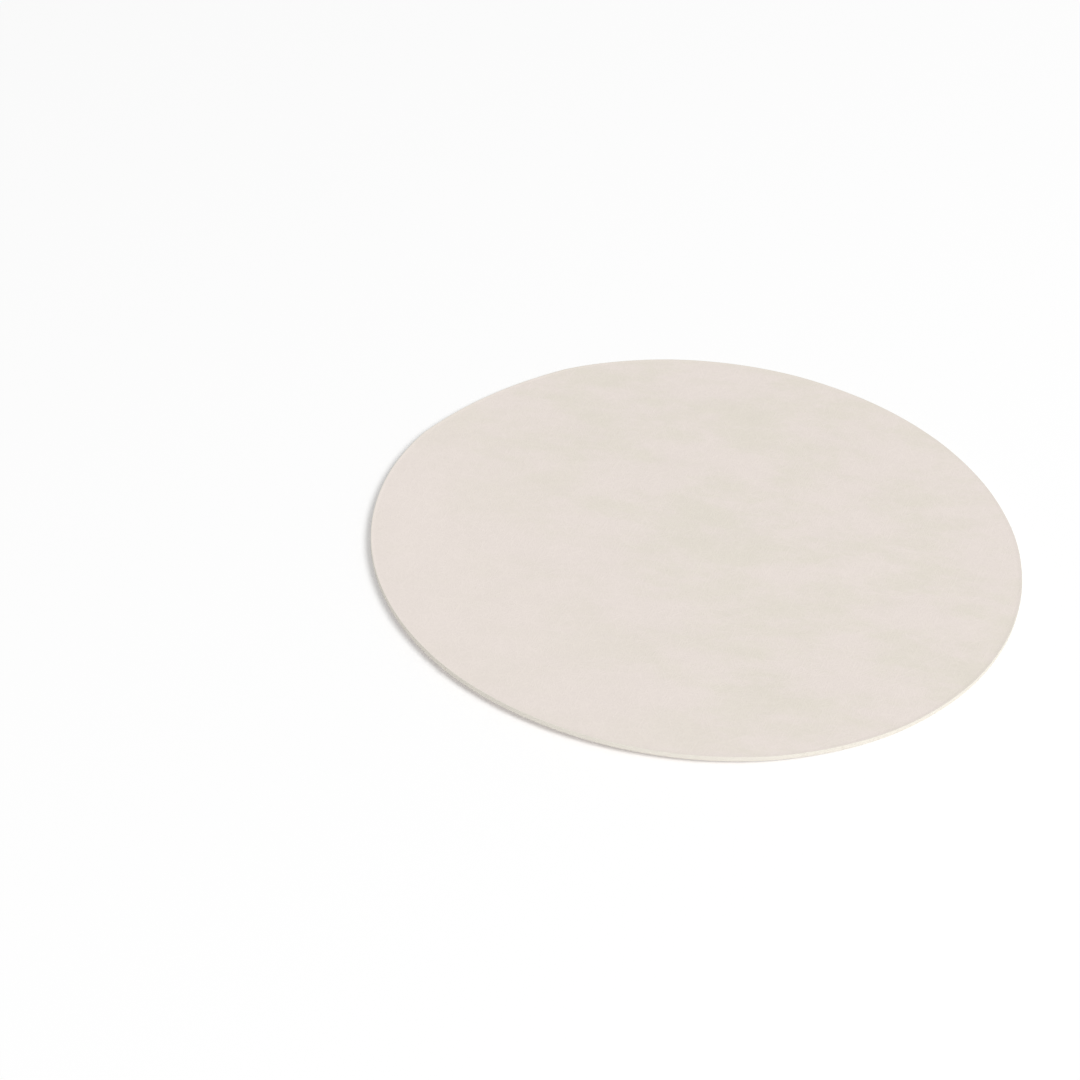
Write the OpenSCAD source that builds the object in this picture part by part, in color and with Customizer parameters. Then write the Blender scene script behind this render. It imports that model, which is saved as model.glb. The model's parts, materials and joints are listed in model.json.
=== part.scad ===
// Filter paper disc: one thick sheet of absorbent cellulose, die-cut round.
// It lies flat, with the burr of the cut upwards. The origin is the centre of its underside
// and +Z points up out of the sheet.

/* [Sheet] */
// Diameter of the disc
disc_d = 50; // [30:0.5:110]
// Thickness of the paper
sheet_t = 0.4; // [0.3:0.01:1.2]

/* [Cut edge] */
// Radius rolled over where the die enters the sheet, round the underside
entry_r = 0.08; // [0.04:0.01:0.2]
// Height of the burr that the die raises where it leaves the sheet, round the upper face
burr_h = 0.02; // [0.005:0.005:0.06]
// Width of the burr, from the cut wall in to where it meets the upper face
burr_w = 0.3; // [0.1:0.05:1]
// Width of the flat crest of the burr, next to the cut wall
crest_w = 0.03; // [0.01:0.01:0.08]

/* [Flattened stretch] */
// Length of the stretch of rim that is flatter than the rest, straight across from end to end
flat_l = 15; // [8:0.5:20]
// Radius of that stretch, as a multiple of the disc's own radius
flat_ease = 1.36; // [1.1:0.02:2.5]
// Direction of the middle of that stretch, in degrees from +X
flat_dir = 137; // [0:1:359]

/* [Hidden] */

paper = [0.91, 0.88, 0.84];
round_fn = 128;
edge_fn = 48;

disc_r = disc_d / 2;
flat_r = flat_ease * disc_r;
// Distance from the disc's axis to the axis that the flattened stretch is turned about, where both
// rounds meet at the ends of the stretch. It is below nought, because that axis lies on the far side
flat_shift = sqrt(disc_r * disc_r - flat_l * flat_l / 4) - sqrt(flat_r * flat_r - flat_l * flat_l / 4);
// Height of the burr's crest above the underside
crest_z = sheet_t + burr_h;

// Section of a round as thick as the crest is high, from its axis to a cut wall at x = reach
module round_section(reach) {
    square([reach - entry_r, crest_z]);
    translate([0, entry_r]) square([reach, crest_z - entry_r]);
    translate([reach - entry_r, entry_r]) circle(entry_r, $fn = edge_fn);
}

// Section of all that lies above the upper face and inside the burr's crest, with the burr's
// slope drawn on to twice the height of the crest
module hollow_section(reach) {
    slope_w = burr_w - crest_w;
    polygon([
        [0, sheet_t],
        [reach - burr_w, sheet_t],
        [reach - burr_w + 2 * slope_w, sheet_t + 2 * burr_h],
        [0, sheet_t + 2 * burr_h]
    ]);
}

// Turns a section about the disc's axis
module turned() {
    rotate_extrude($fn = round_fn) children();
}

// Turns a section about the axis of the flattened stretch
module turned_flatter() {
    rotate([0, 0, flat_dir]) translate([flat_shift, 0, 0]) turned() children();
}

module filter_disc() {
    color(paper) difference() {
        intersection() {
            turned() round_section(disc_r);
            turned_flatter() round_section(flat_r);
        }
        intersection() {
            turned() hollow_section(disc_r);
            turned_flatter() hollow_section(flat_r);
        }
    }
}

filter_disc();
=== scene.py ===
"""Visual model of a thick filter paper disc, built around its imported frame.

The disc is one die-cut sheet of absorbent cellulose. The die rolls the lower edge over where it
enters the sheet, raises a low burr round the upper face where it leaves, and has left one stretch
of the rim a little flatter than the rest. The paper is modelled as a dense sheet that has settled
on the bench with a slight curl, and the fibres that the die pulled loose are modelled one by one.

Everything is in metres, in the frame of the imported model: +Z up out of the sheet, and the origin
at the centre of the underside.
"""

import json
import logging
import math
import random
from dataclasses import dataclass
from enum import Enum
from typing import Callable

import bmesh
import bpy
import numpy as np
from mathutils import Matrix, Vector, noise

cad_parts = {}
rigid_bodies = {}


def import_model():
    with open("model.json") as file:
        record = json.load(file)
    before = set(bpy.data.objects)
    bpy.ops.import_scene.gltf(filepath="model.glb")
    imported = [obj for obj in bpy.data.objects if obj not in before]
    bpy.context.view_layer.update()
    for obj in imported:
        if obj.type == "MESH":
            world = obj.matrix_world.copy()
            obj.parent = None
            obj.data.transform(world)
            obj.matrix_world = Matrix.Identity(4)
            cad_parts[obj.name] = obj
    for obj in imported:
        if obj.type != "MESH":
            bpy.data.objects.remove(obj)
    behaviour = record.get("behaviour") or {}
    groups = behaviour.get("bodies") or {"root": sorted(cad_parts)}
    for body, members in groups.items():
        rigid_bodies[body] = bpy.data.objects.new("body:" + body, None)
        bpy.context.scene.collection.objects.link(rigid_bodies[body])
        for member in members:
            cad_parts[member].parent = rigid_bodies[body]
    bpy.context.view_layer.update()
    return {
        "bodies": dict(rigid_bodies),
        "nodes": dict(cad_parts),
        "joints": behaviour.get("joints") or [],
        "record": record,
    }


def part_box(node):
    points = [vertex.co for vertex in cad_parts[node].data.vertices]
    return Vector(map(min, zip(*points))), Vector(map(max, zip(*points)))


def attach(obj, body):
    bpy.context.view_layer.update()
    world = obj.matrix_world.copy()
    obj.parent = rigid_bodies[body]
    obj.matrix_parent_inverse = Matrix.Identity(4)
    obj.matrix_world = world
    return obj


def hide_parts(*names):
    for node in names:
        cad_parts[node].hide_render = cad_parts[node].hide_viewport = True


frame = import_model()

MM = 0.001
DISC_NODE = "filter_disc"
BODY = "root"

# Points closer than this are one point. It stays far below the thickness of a fibre
MERGE_DISTANCE = 0.0001 * MM
# Points whose heights differ by less than this lie level
LEVEL_TOLERANCE = 0.001 * MM

log = logging.getLogger("filter_disc")


# ---------------------------------------------------------------------------------------------
# Working on a mesh
# ---------------------------------------------------------------------------------------------


class Part(Enum):
    """What a selection in edit mode is made of."""

    FACES = "FACE"
    EDGES = "EDGE"


class Bench:
    """Edit mode on one piece, in which faces and edges are picked by where they lie."""

    def __init__(self, piece: bpy.types.Object) -> None:
        """Keeps the piece.

        Args:
            piece: the mesh object to work on.
        """
        self.piece = piece

    def __enter__(self) -> "Bench":
        """Opens edit mode on the piece alone.

        Returns:
            This bench.
        """
        clear_selection()
        self.piece.select_set(True)
        bpy.context.view_layer.objects.active = self.piece
        bpy.ops.object.mode_set(mode="EDIT")
        return self

    def __exit__(self, *problem: object) -> None:
        """Closes edit mode."""
        bpy.ops.object.mode_set(mode="OBJECT")

    def pick(self, part: Part, wanted: Callable[[object], bool]) -> int:
        """Selects the faces or edges that a test accepts, and nothing else.

        Args:
            part: whether faces or edges are picked.
            wanted: a test that takes one bmesh face or edge.

        Returns:
            How many were picked.
        """
        bpy.ops.mesh.select_mode(type=part.value)
        bpy.ops.mesh.select_all(action="DESELECT")
        shape = bmesh.from_edit_mesh(self.piece.data)
        found = [item for item in (shape.faces if part is Part.FACES else shape.edges) if wanted(item)]
        for item in found:
            item.select_set(True)
        bmesh.update_edit_mesh(self.piece.data)
        return len(found)


def clear_selection() -> None:
    """Deselects every object, because the frame's nodes are selected after loading."""
    bpy.ops.object.select_all(action="DESELECT")


def points_of(piece: bpy.types.Object) -> np.ndarray:
    """Reads a mesh's points.

    Args:
        piece: the mesh object.

    Returns:
        An array with one row of x, y and z for each point, in metres.
    """
    points = np.zeros(len(piece.data.vertices) * 3)
    piece.data.vertices.foreach_get("co", points)
    return points.reshape(-1, 3)


def move_points(piece: bpy.types.Object, points: np.ndarray) -> None:
    """Writes a mesh's points back.

    Args:
        piece: the mesh object.
        points: one row of x, y and z for each point, in metres.
    """
    piece.data.vertices.foreach_set("co", points.ravel())
    piece.data.update()


def smoothstep(low: float, high: float, value: np.ndarray) -> np.ndarray:
    """Eases from 0 at low to 1 at high.

    Args:
        low: the value at which the result is 0.
        high: the value at which the result is 1; it may lie below low.
        value: the values to ease.

    Returns:
        The eased values, from 0 to 1.
    """
    share = np.clip((value - low) / (high - low), 0.0, 1.0)
    return share * share * (3.0 - 2.0 * share)


# ---------------------------------------------------------------------------------------------
# The form of the sheet, which the paper and its loose fibres share
# ---------------------------------------------------------------------------------------------


@dataclass(frozen=True)
class Curl:
    """One stretch of rim that stands a little off the bench."""

    towards: float  # direction from the centre, in radians from +X
    spread: float  # half the angle over which it dies away, in radians
    lift: float  # height at the rim, in metres


@dataclass(frozen=True)
class SheetForm:
    """Sizes of the die-cut sheet, and how it lies on the bench."""

    radius: float
    thickness: float
    crest: float
    flat_length: float = 15.0 * MM
    flat_ease: float = 1.36
    flat_towards: float = math.radians(137)
    curls: tuple[Curl, ...] = (
        Curl(math.radians(-115), math.radians(75), 0.5 * MM),
        Curl(math.radians(178), math.radians(60), 0.2 * MM),
    )
    curl_power: float = 3.0
    cockle_size: float = 11.0 * MM
    cockle_height: float = 0.014 * MM

    @classmethod
    def from_frame(cls, packed: dict) -> "SheetForm":
        """Takes the sheet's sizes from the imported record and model.


        Returns:
            The form of the sheet.
        """
        mounts = {mount["name"]: mount for mount in packed["record"]["mounts"]}
        return cls(
            radius=mounts["rim"]["dims"]["r_mm"] * MM,
            thickness=mounts["upper_face"]["pos_m"][2],
            crest=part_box(DISC_NODE)[1].z,
        )

    @property
    def flat_radius(self) -> float:
        """Radius of the flattened stretch of rim."""
        return self.flat_ease * self.radius

    @property
    def flat_centre(self) -> np.ndarray:
        """Centre of the flattened stretch. The two rounds meet at the stretch's ends.

        Returns:
            The centre's x and y.
        """
        half = self.flat_length / 2
        shift = math.sqrt(self.radius**2 - half**2) - math.sqrt(self.flat_radius**2 - half**2)
        return shift * np.array((math.cos(self.flat_towards), math.sin(self.flat_towards)))

    def rim_gap(self, points: np.ndarray) -> np.ndarray:
        """Measures how far points lie inside the rim.

        Args:
            points: rows of x, y and z.

        Returns:
            The distance from each point in to the rim, as seen from above.
        """
        from_flat = points[:, :2] - self.flat_centre
        return np.minimum(
            self.radius - np.hypot(points[:, 0], points[:, 1]),
            self.flat_radius - np.hypot(from_flat[:, 0], from_flat[:, 1]),
        )

    def rim_reach(self, towards: np.ndarray) -> np.ndarray:
        """Works out how far the rim lies from the disc's centre.

        Args:
            towards: directions from the centre, in radians from +X.

        Returns:
            The distance to the rim in each direction.
        """
        centre = self.flat_centre
        along = np.cos(towards) * centre[0] + np.sin(towards) * centre[1]
        flatter = along + np.sqrt(along**2 + self.flat_radius**2 - centre @ centre)
        return np.minimum(self.radius, flatter)

    def lift(self, points: np.ndarray) -> np.ndarray:
        """Works out how far the settled sheet stands off the bench.

        Args:
            points: rows of x, y and z.

        Returns:
            A height for each point, never below nought.
        """
        reach = np.hypot(points[:, 0], points[:, 1]) / self.radius
        towards = np.arctan2(points[:, 1], points[:, 0])
        height = np.zeros(len(points))
        for curl in self.curls:
            turned = np.abs(np.angle(np.exp(1j * (towards - curl.towards))))
            height += curl.lift * smoothstep(curl.spread, 0.0, turned) * reach**self.curl_power
        cockle = np.array([
            noise.noise(Vector((x, y, 0)) / self.cockle_size) for x, y in points[:, :2]
        ])
        return height + self.cockle_height * np.maximum(cockle, 0.0)


# ---------------------------------------------------------------------------------------------
# Shader node groups and finishes
# ---------------------------------------------------------------------------------------------


class NodeSheet:
    """A node tree under construction, with short calls to add and join nodes."""

    def __init__(self, tree: bpy.types.NodeTree) -> None:
        """Keeps the tree.

        Args:
            tree: the node tree to add to.
        """
        self.tree = tree

    def add(self, kind: str, **settings: object) -> bpy.types.Node:
        """Adds a node.

        Args:
            kind: the node's type name, without its ShaderNode start.
            **settings: attributes of the node to set.

        Returns:
            The new node.
        """
        node = self.tree.nodes.new(kind if kind.startswith("NodeGroup") else f"ShaderNode{kind}")
        for name, value in settings.items():
            setattr(node, name, value)
        return node

    def join(self, source: object, target: object) -> None:
        """Links an output socket to an input socket."""
        self.tree.links.new(source, target)

    def math(self, operation: str, *values: object) -> bpy.types.NodeSocket:
        """Adds a Math node.

        Args:
            operation: the node's operation.
            *values: a socket or a number for each input that the operation takes.

        Returns:
            The node's output socket.
        """
        node = self.add("Math", operation=operation)
        for slot, value in zip(node.inputs, values):
            if isinstance(value, bpy.types.NodeSocket):
                self.join(value, slot)
            else:
                slot.default_value = value
        return node.outputs["Value"]

    def noise(
        self, vector: object, size: float, detail: float = 2.0, roughness: float = 0.5
    ) -> bpy.types.NodeSocket:
        """Adds a Noise Texture.

        Args:
            vector: the socket that gives the place.
            size: width of the largest feature, in the units of that vector.
            detail: how many finer layers it has.
            roughness: how strong each finer layer is, as a share of the one before.

        Returns:
            The noise's value socket, which has a mean of about a half.
        """
        node = self.add("TexNoise")
        node.inputs["Scale"].default_value = 1.0 / size
        node.inputs["Detail"].default_value = detail
        node.inputs["Roughness"].default_value = roughness
        self.join(vector, node.inputs["Vector"])
        return node.outputs["Fac"]

    def ramp(self, value: object, low: float, high: float, start: float = 0.0, end: float = 1.0) -> object:
        """Adds a smooth Map Range.

        Args:
            value: the socket to map.
            low: value that maps to start.
            high: value that maps to end.
            start: result at low.
            end: result at high.

        Returns:
            The mapped value's socket.
        """
        node = self.add("MapRange", interpolation_type="SMOOTHSTEP")
        self.join(value, node.inputs["Value"])
        for name, number in (("From Min", low), ("From Max", high), ("To Min", start), ("To Max", end)):
            node.inputs[name].default_value = number
        return node.outputs["Result"]

    def blend(self, share: object, first: object, second: object, mode: str = "MIX") -> bpy.types.NodeSocket:
        """Adds a colour Mix node.

        Args:
            share: a socket or a number, 0 for the first colour and 1 for the second.
            first: a colour socket or an RGB tuple.
            second: a colour socket or an RGB tuple.
            mode: the node's blend type.

        Returns:
            The mixed colour's socket.
        """
        node = self.add("Mix", data_type="RGBA", blend_type=mode)
        for slot, value in zip((node.inputs[0], node.inputs[6], node.inputs[7]), (share, first, second)):
            if isinstance(value, bpy.types.NodeSocket):
                self.join(value, slot)
            elif isinstance(value, tuple):
                slot.default_value = (*value, 1.0)
            else:
                slot.default_value = value
        return node.outputs[2]


def new_group(name: str, inputs: dict[str, float | None], outputs: tuple[str, ...]) -> tuple:
    """Starts a shader node group with named sockets.

    Args:
        name: the group's name.
        inputs: each input's name and default number, or None for a vector.
        outputs: the names of its number outputs.

    Returns:
        The group, a NodeSheet on it, its input node and its output node.
    """
    group = bpy.data.node_groups.new(name, "ShaderNodeTree")
    for label, default in inputs.items():
        kind = "NodeSocketVector" if default is None else "NodeSocketFloat"
        socket = group.interface.new_socket(name=label, in_out="INPUT", socket_type=kind)
        if default is not None:
            socket.default_value = default
    for label in outputs:
        group.interface.new_socket(name=label, in_out="OUTPUT", socket_type="NodeSocketFloat")
    sheet = NodeSheet(group)
    return group, sheet, sheet.add("NodeGroupInput"), sheet.add("NodeGroupOutput")


@dataclass(frozen=True)
class FeltGrain:
    """The mat of fibres at a paper's surface: thin wavy streaks lying every way in the sheet."""

    fibre_width: float = 0.07 * MM
    fibre_length: float = 1.1 * MM
    wave_size: float = 0.7 * MM
    wave_reach: float = 0.22 * MM
    fibre_spacing: float = 1.6  # in lengths and widths of a fibre
    fibre_limits: tuple[float, float] = (0.5, 0.72)
    directions: int = 5
    direction_shift: tuple[float, float, float] = (7.3 * MM, 3.1 * MM, 0)
    tooth_size: float = 0.22 * MM

    def group(self) -> bpy.types.NodeTree:
        """Builds the node group.

        Returns:
            A group that takes Vector and puts out Fibres and Tooth, each from 0 to 1.
        """
        group, sheet, given, out = new_group("felt_grain", {"Vector": None}, ("Fibres", "Tooth"))
        place = given.outputs["Vector"]
        wave = sheet.add("TexNoise")
        wave.inputs["Scale"].default_value = 1.0 / self.wave_size
        sheet.join(place, wave.inputs["Vector"])
        centred = sheet.add("VectorMath", operation="SUBTRACT")
        centred.inputs[1].default_value = (0.5, 0.5, 0.5)
        sheet.join(wave.outputs["Color"], centred.inputs[0])
        bent = sheet.add("VectorMath", operation="MULTIPLY_ADD")
        bent.inputs[1].default_value = (self.wave_reach,) * 3
        sheet.join(centred.outputs["Vector"], bent.inputs[0])
        sheet.join(place, bent.inputs[2])
        fibres = None
        for index in range(self.directions):
            lay = sheet.add("Mapping", vector_type="TEXTURE")
            lay.inputs["Location"].default_value = [index * side for side in self.direction_shift]
            lay.inputs["Rotation"].default_value = (0, 0, math.pi * index / self.directions)
            lay.inputs["Scale"].default_value = (self.fibre_length, self.fibre_width, self.fibre_width)
            sheet.join(bent.outputs["Vector"], lay.inputs["Vector"])
            streak = sheet.noise(lay.outputs["Vector"], self.fibre_spacing, detail=1.0)
            streak = sheet.ramp(streak, *self.fibre_limits)
            fibres = streak if fibres is None else sheet.math("MAXIMUM", fibres, streak)
        sheet.join(fibres, out.inputs["Fibres"])
        sheet.join(sheet.noise(place, self.tooth_size, detail=3.0, roughness=0.7), out.inputs["Tooth"])
        return group


@dataclass(frozen=True)
class Formation:
    """The cloudiness of a paper: denser and thinner places and faint warm stains, and painted light that
    makes one side lighter and less stained.
    """

    cloud_size: float = 9.0 * MM
    stain_size: float = 5.5 * MM
    stain_stretch: float = 2.1
    stain_shift: tuple[float, float, float] = (31 * MM, 17 * MM, 0)
    stain_limits: tuple[float, float] = (0.4, 0.62)
    # Painted light: the side in this direction is painted lighter and keeps less stain, as if more strongly
    # lit
    painted_light_towards: float = math.radians(-150)
    painted_light_reach: float = 25 * MM
    stain_left_in_painted_light: float = 0.25

    def group(self) -> bpy.types.NodeTree:
        """Builds the node group.

        Returns:
            A group that takes Vector and puts out Cloud, Stain and the share of painted light on one side,
            each from 0 to 1.
        """
        group, sheet, given, out = new_group("formation", {"Vector": None}, ("Cloud", "Stain", "PaintedLightSide"))
        place = given.outputs["Vector"]
        cloud = sheet.noise(place, self.cloud_size, detail=7.0, roughness=0.92)
        sheet.join(cloud, out.inputs["Cloud"])
        drawn = sheet.add("Mapping", vector_type="TEXTURE")
        drawn.inputs["Location"].default_value = self.stain_shift
        drawn.inputs["Scale"].default_value = (self.stain_stretch, 1.0, 1.0)
        sheet.join(place, drawn.inputs["Vector"])
        stain = sheet.noise(drawn.outputs["Vector"], self.stain_size, detail=6.0, roughness=0.74)
        side = sheet.add("VectorMath", operation="DOT_PRODUCT")
        side.inputs[1].default_value = (math.cos(self.painted_light_towards), math.sin(self.painted_light_towards), 0)
        sheet.join(place, side.inputs[0])
        # painted light: a gradient across the disc, from 0 to 1 towards one side, that lightens that side
        # and fades its stains
        painted_light_side = sheet.ramp(side.outputs["Value"], -0.1 * self.painted_light_reach, 0.95 * self.painted_light_reach)
        kept = sheet.ramp(painted_light_side, 0.0, 1.0, 1.0, self.stain_left_in_painted_light)
        sheet.join(sheet.math("MULTIPLY", sheet.ramp(stain, *self.stain_limits), kept), out.inputs["Stain"])
        sheet.join(painted_light_side, out.inputs["PaintedLightSide"])
        return group


@dataclass(frozen=True)
class PaperFinish:
    """Matt off-white filter paper, warmer where the die has opened its cut wall."""

    name: str = "filter_paper_felt"
    pale: tuple[float, float, float] = (0.861, 0.782, 0.730)
    stained: tuple[float, float, float] = (0.820, 0.763, 0.681)
    cut: tuple[float, float, float] = (0.785, 0.744, 0.668)
    cloud_depth: float = 0.09
    fibre_tone: float = 0.03
    tooth_tone: float = 0.05
    # painted light: how much lighter one side of the disc is painted
    painted_light_lift: float = 0.012
    roughness: float = 0.9
    roughness_swing: float = 0.05
    grain_height: float = 0.006 * MM
    layer_size: tuple[float, float, float] = (0.35 * MM, 0.35 * MM, 0.06 * MM)
    wall_grain_height: float = 0.012 * MM
    specular: float = 0.3
    sheen: float = 0.06
    sheen_roughness: float = 0.6

    def material(self, grain: bpy.types.NodeTree, formation: bpy.types.NodeTree) -> bpy.types.Material:
        """Builds the material.

        Args:
            grain: the felt grain group.
            formation: the formation group.

        Returns:
            The paper's material, which reads the mesh's cut_wall attribute.
        """
        material = bpy.data.materials.new(self.name)
        material.use_nodes = True
        sheet = NodeSheet(material.node_tree)
        shader = material.node_tree.nodes["Principled BSDF"]
        place = sheet.add("TexCoord").outputs["Object"]
        wall = sheet.add("Attribute", attribute_name="cut_wall").outputs["Fac"]
        felt = sheet.add("Group", node_tree=grain)
        clouds = sheet.add("Group", node_tree=formation)
        sheet.join(place, felt.inputs["Vector"])
        sheet.join(place, clouds.inputs["Vector"])

        roughness = (self.roughness - self.roughness_swing, self.roughness + self.roughness_swing)
        rough = sheet.ramp(felt.outputs["Tooth"], 0.3, 0.7, *roughness)
        sheet.join(self.colour(sheet, wall, felt, clouds), shader.inputs["Base Color"])
        sheet.join(rough, shader.inputs["Roughness"])
        sheet.join(self.relief(sheet, place, wall, felt), shader.inputs["Normal"])
        shader.inputs["Specular IOR Level"].default_value = self.specular
        shader.inputs["Sheen Weight"].default_value = self.sheen
        shader.inputs["Sheen Roughness"].default_value = self.sheen_roughness
        return material

    def colour(
        self, sheet: NodeSheet, wall: bpy.types.NodeSocket, felt: bpy.types.Node, clouds: bpy.types.Node
    ) -> bpy.types.NodeSocket:
        """Mixes the paper's colours, shades them by its cloudiness and its fibres, and adds painted light
        that lightens one side.

        Args:
            sheet: the material's node sheet.
            wall: share of the cut wall.
            felt: the felt grain group's node.
            clouds: the formation group's node.

        Returns:
            The colour's socket.
        """
        face = sheet.blend(clouds.outputs["Stain"], self.pale, self.stained)
        paper = sheet.blend(wall, face, self.cut)
        tone = 1.0 - (self.cloud_depth + self.tooth_tone) / 2
        for mask, depth in (
            (clouds.outputs["Cloud"], self.cloud_depth),
            (felt.outputs["Fibres"], self.fibre_tone),
            (felt.outputs["Tooth"], self.tooth_tone),
            # painted light: one side of the disc painted lighter
            (clouds.outputs["PaintedLightSide"], self.painted_light_lift),
        ):
            tone = sheet.math("MULTIPLY_ADD", mask, depth, tone)
        grey = sheet.add("CombineColor")
        for channel in grey.inputs:
            sheet.join(tone, channel)
        return sheet.blend(1.0, paper, grey.outputs["Color"], mode="MULTIPLY")

    def relief(
        self, sheet: NodeSheet, place: bpy.types.NodeSocket, wall: bpy.types.NodeSocket, felt: bpy.types.Node
    ) -> bpy.types.NodeSocket:
        """Raises the felt grain on the faces and the torn layers on the cut wall.

        Args:
            sheet: the material's node sheet.
            place: the place on the piece.
            wall: share of the cut wall.
            felt: the felt grain group's node.

        Returns:
            The normal's socket.
        """
        layered = sheet.add("Mapping", vector_type="TEXTURE")
        layered.inputs["Scale"].default_value = self.layer_size
        sheet.join(place, layered.inputs["Vector"])
        layers = sheet.noise(layered.outputs["Vector"], 1.0, detail=3.0, roughness=0.6)
        grain_height = sheet.math("ADD", felt.outputs["Fibres"], felt.outputs["Tooth"])
        height = sheet.add("Mix", data_type="FLOAT")
        sheet.join(wall, height.inputs[0])
        sheet.join(sheet.math("MULTIPLY", grain_height, self.grain_height), height.inputs[2])
        sheet.join(sheet.math("MULTIPLY", layers, self.wall_grain_height), height.inputs[3])
        bump = sheet.add("Bump")
        bump.inputs["Strength"].default_value = 1.0
        bump.inputs["Distance"].default_value = 1.0
        sheet.join(height.outputs[0], bump.inputs["Height"])
        return bump.outputs["Normal"]


@dataclass(frozen=True)
class LooseFibreFinish:
    """A single bleached cellulose fibre, paler and a little glossier than the sheet."""

    name: str = "loose_cellulose_fibre"
    tint: tuple[float, float, float] = (0.93, 0.88, 0.82)
    roughness: float = 0.6
    tone_depth: float = 0.12

    def material(self, grain: bpy.types.NodeTree) -> bpy.types.Material:
        """Builds the material.

        Args:
            grain: the felt grain group.

        Returns:
            The fibres' material.
        """
        material = bpy.data.materials.new(self.name)
        material.use_nodes = True
        sheet = NodeSheet(material.node_tree)
        shader = material.node_tree.nodes["Principled BSDF"]
        felt = sheet.add("Group", node_tree=grain)
        sheet.join(sheet.add("TexCoord").outputs["Object"], felt.inputs["Vector"])
        darker = tuple(value * (1.0 - self.tone_depth) for value in self.tint)
        colour = sheet.blend(felt.outputs["Tooth"], darker, self.tint)
        sheet.join(colour, shader.inputs["Base Color"])
        shader.inputs["Roughness"].default_value = self.roughness
        return material


# ---------------------------------------------------------------------------------------------
# The sheet
# ---------------------------------------------------------------------------------------------


@dataclass
class PaperSheet:
    """The disc itself: a round blank, flattened on one stretch, with its worked edge."""

    form: SheetForm
    rim_segments: int = 720
    burr_width: float = 0.3 * MM
    crest_width: float = 0.03 * MM
    crest_round: float = 0.012 * MM
    crest_rows: int = 2
    slope_rows: int = 6
    entry_radius: float = 0.08 * MM
    roll_rows: int = 4
    wall_rows: int = 6
    wall_reach: float = 0.05 * MM
    wall_finish: tuple[float, float] = (0.07 * MM, 0.015 * MM)  # where its finish begins and is whole
    wall_rough: float = 0.006 * MM
    tear_size: tuple[float, float, float] = (0.4 * MM, 0.4 * MM, 0.09 * MM)
    rim_wander: float = 0.03 * MM
    wander_size: float = 5.0 * MM
    wander_depth: float = 2.5 * MM
    felt_sizes: tuple[float, ...] = (6.0 * MM, 3.0 * MM, 1.5 * MM, 0.8 * MM)
    felt_slope: float = 0.0012
    corner_angle: float = math.radians(45)
    smooth_angle: float = math.radians(50)

    def build(self, finish: bpy.types.Material) -> bpy.types.Object:
        """Makes, settles and dresses the sheet.

        Args:
            finish: the paper's material.

        Returns:
            The finished piece.
        """
        sheet = self.blank()
        with Bench(sheet) as bench:
            self.raise_burr(bench)
            self.cut_wall_rows(bench)
            self.roll_lower_edge(bench)
            self.lay_grid(bench, self.form.thickness)
            self.lay_grid(bench, 0.0)
            bpy.ops.mesh.select_all(action="SELECT")
            bpy.ops.mesh.remove_doubles(threshold=MERGE_DISTANCE)
            bpy.ops.mesh.normals_make_consistent(inside=False)
        self.mark_cut_wall(sheet)
        self.roughen(sheet)
        self.settle(sheet)
        clear_selection()
        sheet.select_set(True)
        bpy.context.view_layer.objects.active = sheet
        bpy.ops.object.shade_smooth_by_angle(angle=self.smooth_angle)
        sheet.data.materials.append(finish)
        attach(sheet, BODY)
        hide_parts(DISC_NODE)
        return sheet

    def blank(self) -> bpy.types.Object:
        """Stamps the blank, as thick as the burr's crest is high, and draws its flattened stretch in.

        Returns:
            The blank.
        """
        clear_selection()
        bpy.ops.mesh.primitive_cylinder_add(
            vertices=self.rim_segments,
            radius=self.form.radius,
            depth=self.form.crest,
            end_fill_type="NGON",
            location=(0, 0, self.form.crest / 2),
        )
        bpy.ops.object.transform_apply(location=True, rotation=True, scale=True)
        sheet = bpy.context.object
        sheet.name = sheet.data.name = "paper_sheet"
        points = points_of(sheet)
        towards = np.arctan2(points[:, 1], points[:, 0])
        reach = self.form.rim_reach(towards)
        points[:, 0], points[:, 1] = reach * np.cos(towards), reach * np.sin(towards)
        move_points(sheet, points)
        return sheet

    def raise_burr(self, bench: Bench) -> None:
        """Leaves a narrow crest round the upper face and slopes it down to the sheet's thickness.

        Args:
            bench: edit mode on the sheet.
        """
        bench.pick(Part.FACES, lambda face: face.normal.z > 0.99)
        bpy.ops.mesh.inset(thickness=self.crest_width, depth=0)
        drop = self.form.crest - self.form.thickness
        row_width = (self.burr_width - self.crest_width) / self.slope_rows
        ease = [row * row * (3 - 2 * row) for row in np.linspace(0, 1, self.slope_rows + 1)]
        for before, after in zip(ease, ease[1:]):
            bpy.ops.mesh.inset(thickness=row_width, depth=-drop * (after - before))

    def cut_wall_rows(self, bench: Bench) -> None:
        """Divides the cut wall into rows, so that it can be roughened.

        Args:
            bench: edit mode on the sheet.
        """
        bench.pick(
            Part.EDGES,
            lambda edge: abs(edge.verts[0].co.z - edge.verts[1].co.z) > self.form.crest / 2,
        )
        bpy.ops.mesh.subdivide(number_cuts=self.wall_rows)

    def roll_lower_edge(self, bench: Bench) -> None:
        """Rounds the lower edge, and just takes the sharpness off the burr's crest.

        Args:
            bench: edit mode on the sheet.
        """

        def is_corner(edge: bmesh.types.BMEdge, height: float) -> bool:
            """Tells whether an edge lies on the rim at a height, between the wall and a face."""
            level = all(abs(point.co.z - height) < LEVEL_TOLERANCE for point in edge.verts)
            return level and edge.calc_face_angle(0) > self.corner_angle

        for height, radius, rows in (
            (0.0, self.entry_radius, self.roll_rows),
            (self.form.crest, self.crest_round, self.crest_rows),
        ):
            bench.pick(Part.EDGES, lambda edge: is_corner(edge, height))
            bpy.ops.mesh.bevel(offset=radius, segments=rows, affect="EDGES", clamp_overlap=False)

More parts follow.
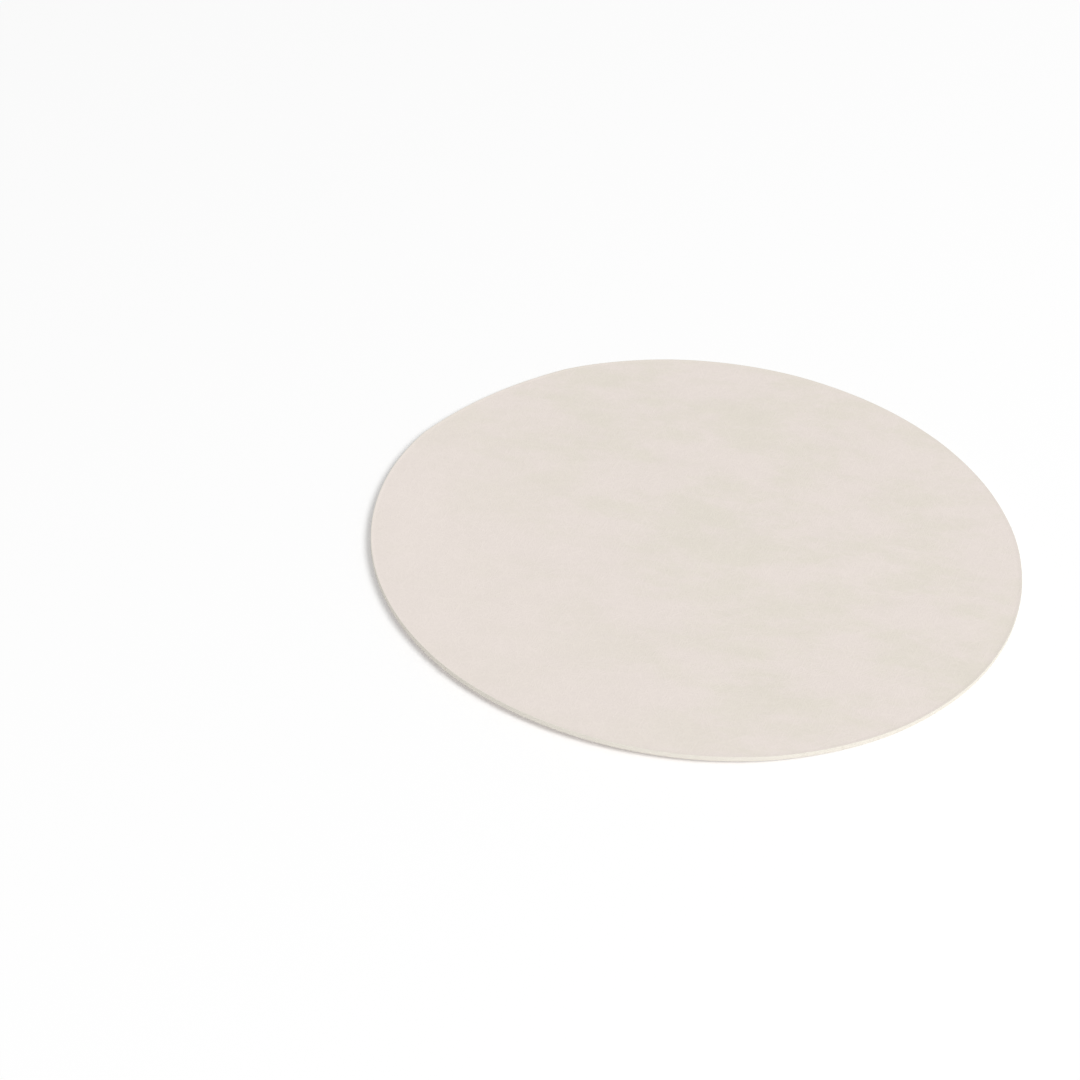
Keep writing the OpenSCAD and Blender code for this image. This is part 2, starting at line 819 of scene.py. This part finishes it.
    def lay_grid(self, bench: Bench, height: float) -> None:
        """Turns the one large polygon at a height into an even grid.

        Args:
            bench: edit mode on the sheet.
            height: where the polygon lies.
        """
        bench.pick(
            Part.FACES,
            lambda face: len(face.verts) > 4 and abs(face.calc_center_median().z - height) < LEVEL_TOLERANCE,
        )
        bpy.ops.mesh.delete(type="ONLY_FACE")
        count = bench.pick(Part.EDGES, lambda edge: edge.is_boundary)
        bpy.ops.mesh.fill_grid(span=count // 4)

    def mark_cut_wall(self, sheet: bpy.types.Object) -> None:
        """Stores how far each point belongs to the cut wall, for the finish to read.

        Args:
            sheet: the piece.
        """
        gap = self.form.rim_gap(points_of(sheet))
        share = smoothstep(*self.wall_finish, gap)
        sheet.data.attributes.new("cut_wall", "FLOAT", "POINT").data.foreach_set("value", share)

    def roughen(self, sheet: bpy.types.Object) -> None:
        """Gives the faces their felt relief, the rim its slight wander and the wall its torn grain.

        Args:
            sheet: the piece.
        """
        points = points_of(sheet)
        gap = self.form.rim_gap(points)
        on_wall = smoothstep(self.wall_reach, 0.0, gap)
        near_rim = smoothstep(self.wander_depth, 0.0, gap)
        on_top = smoothstep(self.form.thickness * 0.6, self.form.thickness * 0.95, points[:, 2])
        towards = points[:, :2] / np.maximum(np.hypot(points[:, 0], points[:, 1]), MM)[:, None]
        for index, (x, y, z) in enumerate(points):
            felt = sum(
                size * noise.noise(Vector((x, y, 0)) / size + Vector((0, 0, size / MM)))
                for size in self.felt_sizes
            )
            points[index, 2] += felt * self.felt_slope * on_top[index] * (1 - on_wall[index])
            wander = noise.noise(Vector((x, y, 9 * MM)) / self.wander_size)
            tear = noise.noise(Vector([at / size for at, size in zip((x, y, z), self.tear_size)]))
            shift = wander * self.rim_wander * near_rim[index] + tear * self.wall_rough * on_wall[index]
            points[index, :2] += towards[index] * shift
        move_points(sheet, points)

    def settle(self, sheet: bpy.types.Object) -> None:
        """Lays the sheet on the bench with its slight curl.

        Args:
            sheet: the piece.
        """
        points = points_of(sheet)
        points[:, 2] += self.form.lift(points)
        points[:, 2] -= points[:, 2].min()
        move_points(sheet, points)


# ---------------------------------------------------------------------------------------------
# The loose fibres
# ---------------------------------------------------------------------------------------------


@dataclass(frozen=True)
class Tuft:
    """A place on the cut wall where many fibres stand out together."""

    towards: float  # direction from the centre, in radians from +X
    height: float  # height above the underside, in metres
    spread: float  # how far along and up the wall its roots lie, in metres
    fibres: int


@dataclass
class EdgeFibres:
    """The fibres that the die pulled out of the cut wall."""

    form: SheetForm
    count: int = 260
    seed: int = 11
    thickness: tuple[float, float] = (0.012 * MM, 0.024 * MM)
    length: tuple[float, float] = (0.08 * MM, 0.42 * MM)
    root_depth: float = 0.03 * MM
    lowest_root: float = 0.12 * MM
    lean_along: float = 0.9
    lean_up: float = 0.45
    joints: int = 5
    bend: float = 0.5
    taper: float = 0.55
    tufts: tuple[Tuft, ...] = (
        Tuft(math.radians(-133), 0.26 * MM, 0.14 * MM, 16),
        Tuft(math.radians(-62), 0.2 * MM, 0.1 * MM, 6),
        Tuft(math.radians(36), 0.3 * MM, 0.12 * MM, 7),
    )

    def build(self, finish: bpy.types.Material) -> bpy.types.Object:
        """Makes and dresses every fibre as a thin tapering tube.

        Args:
            finish: the fibres' material.

        Returns:
            The finished piece.
        """
        clear_selection()
        fibres = bpy.data.objects.new("edge_fibres", self.draw_all())
        bpy.context.scene.collection.objects.link(fibres)
        fibres.select_set(True)
        bpy.context.view_layer.objects.active = fibres
        bpy.ops.object.convert(target="MESH")
        with Bench(fibres):
            bpy.ops.mesh.select_all(action="SELECT")
            bpy.ops.mesh.remove_doubles(threshold=MERGE_DISTANCE)
            bpy.ops.mesh.normals_make_consistent(inside=False)
        bpy.ops.object.shade_smooth()
        fibres.data.materials.clear()
        fibres.data.materials.append(finish)
        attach(fibres, BODY)
        return fibres

    def draw_all(self) -> bpy.types.Curve:
        """Draws the fibres along the whole wall, and then those of the tufts.

        Returns:
            One curve that holds every fibre as a thin tube.
        """
        draw = random.Random(self.seed)
        curve = bpy.data.curves.new("edge_fibres", "CURVE")
        curve.dimensions = "3D"
        curve.bevel_depth = 1.0
        curve.bevel_resolution = 0
        curve.use_fill_caps = True
        for _ in range(self.count):
            towards = draw.uniform(-math.pi, math.pi)
            self.draw_fibre(curve, draw, towards, draw.uniform(self.lowest_root, self.form.thickness))
        for tuft in self.tufts:
            for _ in range(tuft.fibres):
                towards = tuft.towards + draw.gauss(0, tuft.spread / 2) / self.form.radius
                self.draw_fibre(curve, draw, towards, tuft.height + draw.gauss(0, tuft.spread / 4))
        return curve

    def draw_fibre(self, curve: bpy.types.Curve, draw: random.Random, towards: float, height: float) -> None:
        """Adds one fibre to the curve, rooted in the cut wall.

        Args:
            curve: the curve that holds every fibre.
            draw: the source of seeded numbers.
            towards: direction of its root from the centre, in radians.
            height: height of its root above the underside.
        """
        outwards = Vector((math.cos(towards), math.sin(towards), 0))
        along = Vector((-outwards.y, outwards.x, 0))
        reach = float(self.form.rim_reach(np.array(towards)))
        length = draw.uniform(*self.length) * draw.uniform(0.4, 1.0)
        width = draw.uniform(*self.thickness)
        heading = outwards + along * draw.gauss(0, self.lean_along)
        heading.z += draw.gauss(0, self.lean_up)
        heading.normalize()
        point = outwards * (reach - self.root_depth) + Vector((0, 0, height))
        step = (length + self.root_depth) / (self.joints - 1)
        path = [point]
        for _ in range(self.joints - 1):
            turn = Vector((draw.gauss(0, 1), draw.gauss(0, 1), draw.gauss(0, 0.6)))
            heading = (heading + turn * self.bend * 0.5).normalized()
            path.append(path[-1] + heading * step)
        places = np.array(path)
        places[:, 2] += self.form.lift(places)
        places[:, 2] = np.maximum(places[:, 2], width)
        spline = curve.splines.new("POLY")
        spline.points.add(self.joints - 1)
        for index, (dot, place) in enumerate(zip(spline.points, places)):
            dot.co = (*place, 1.0)
            dot.radius = width / 2 * (1.0 - self.taper * index / (self.joints - 1))


# ---------------------------------------------------------------------------------------------
# The studio
# ---------------------------------------------------------------------------------------------


@dataclass
class Studio:
    """A plain pale floor, plain soft light and the camera."""

    floor_size: float = 6.0
    floor_tone: float = 0.97
    floor_glow: float = 0.1
    key_towards: float = math.radians(-40)
    key_height: float = math.radians(45)
    key_distance: float = 2.0
    key_size: float = 1.0
    key_power: float = 23.9
    fill_strength: float = 0.517
    backdrop_tone: float = 0.96
    camera_height: float = math.radians(37.456)
    camera_distance: float = 216.0 * MM
    camera_pan: float = math.radians(3.180)
    camera_tilt: float = math.radians(-0.193)
    camera_roll: float = math.radians(5.610)
    lens: float = 93.33
    sensor: float = 36.0

    def build(self) -> None:
        """Sets up the floor, the light, the world and the camera."""
        self.lay_floor()
        self.hang_key_light()
        self.fill_world()
        self.place_camera()
        view = bpy.context.scene.view_settings
        view.view_transform = "Standard"
        view.look = "None"

    def lay_floor(self) -> None:
        """Lays the floor at the height of the disc's underside."""
        clear_selection()
        bpy.ops.mesh.primitive_plane_add(size=self.floor_size)
        floor = bpy.context.object
        floor.name = floor.data.name = "studio_floor"
        material = bpy.data.materials.new("studio_floor")
        material.use_nodes = True
        shader = material.node_tree.nodes["Principled BSDF"]
        shader.inputs["Base Color"].default_value = (*(self.floor_tone,) * 3, 1.0)
        shader.inputs["Roughness"].default_value = 1.0
        shader.inputs["Specular IOR Level"].default_value = 0.0
        shader.inputs["Emission Color"].default_value = (1.0, 1.0, 1.0, 1.0)
        shader.inputs["Emission Strength"].default_value = self.floor_glow
        floor.data.materials.append(material)

    def hang_key_light(self) -> None:
        """Hangs one large soft light in front and to the right, aimed at the disc."""
        level = math.cos(self.key_height) * self.key_distance
        place = Vector((
            math.cos(self.key_towards) * level,
            math.sin(self.key_towards) * level,
            math.sin(self.key_height) * self.key_distance,
        ))
        bpy.ops.object.light_add(type="AREA", location=place)
        lamp = bpy.context.object
        lamp.name = "key_light"
        lamp.rotation_euler = (-place).to_track_quat("-Z", "Y").to_euler()
        lamp.data.shape = "DISK"
        lamp.data.size = self.key_size
        lamp.data.energy = self.key_power

    def fill_world(self) -> None:
        """Fills the shadows from all round, behind a backdrop as pale as the floor."""
        world = bpy.data.worlds.new("studio_world")
        world.use_nodes = True
        bpy.context.scene.world = world
        sheet = NodeSheet(world.node_tree)
        world.node_tree.nodes.clear()
        fill = sheet.add("Background")
        fill.inputs["Strength"].default_value = self.fill_strength
        fill.inputs["Color"].default_value = (1.0, 1.0, 1.0, 1.0)
        seen = sheet.add("Background")
        seen.inputs["Strength"].default_value = self.backdrop_tone
        seen.inputs["Color"].default_value = (1.0, 1.0, 1.0, 1.0)
        choose = sheet.add("MixShader")
        sheet.join(sheet.add("LightPath").outputs["Is Camera Ray"], choose.inputs["Fac"])
        sheet.join(fill.outputs["Background"], choose.inputs[1])
        sheet.join(seen.outputs["Background"], choose.inputs[2])
        sheet.join(choose.outputs["Shader"], sheet.add("OutputWorld").inputs["Surface"])

    def place_camera(self) -> None:
        """Places the camera in front of the disc, looking down on it, and turns it to its frame."""
        place = Vector((
            0,
            -math.cos(self.camera_height) * self.camera_distance,
            math.sin(self.camera_height) * self.camera_distance,
        ))
        aim = (
            Matrix.Rotation(math.pi / 2 - self.camera_height, 4, "X")
            @ Matrix.Rotation(self.camera_pan, 4, "Y")
            @ Matrix.Rotation(self.camera_tilt, 4, "X")
            @ Matrix.Rotation(self.camera_roll, 4, "Z")
        )
        bpy.ops.object.camera_add(location=place, rotation=aim.to_euler())
        camera = bpy.context.object
        camera.name = "studio_camera"
        camera.data.lens = self.lens
        camera.data.sensor_width = self.sensor
        camera.data.clip_start = 10 * MM
        bpy.context.scene.camera = camera


# ---------------------------------------------------------------------------------------------
# Building and reporting
# ---------------------------------------------------------------------------------------------


def report(piece: bpy.types.Object) -> None:
    """Logs a piece's triangles and size.

    Args:
        piece: a finished mesh piece.
    """
    piece.data.calc_loop_triangles()
    points = points_of(piece) / MM
    size = " x ".join(f"{side:.3f}" for side in np.ptp(points, axis=0))
    log.info("%s: %d triangles, %s mm", piece.name, len(piece.data.loop_triangles), size)


def main() -> None:
    """Builds the disc and the studio."""
    logging.basicConfig(level=logging.INFO, format="%(name)s: %(message)s")
    form = SheetForm.from_frame(frame)
    grain = FeltGrain().group()
    formation = Formation().group()
    report(PaperSheet(form).build(PaperFinish().material(grain, formation)))
    report(EdgeFibres(form).build(LooseFibreFinish().material(grain)))
    Studio().build()


if __name__ == "__main__":
    main()
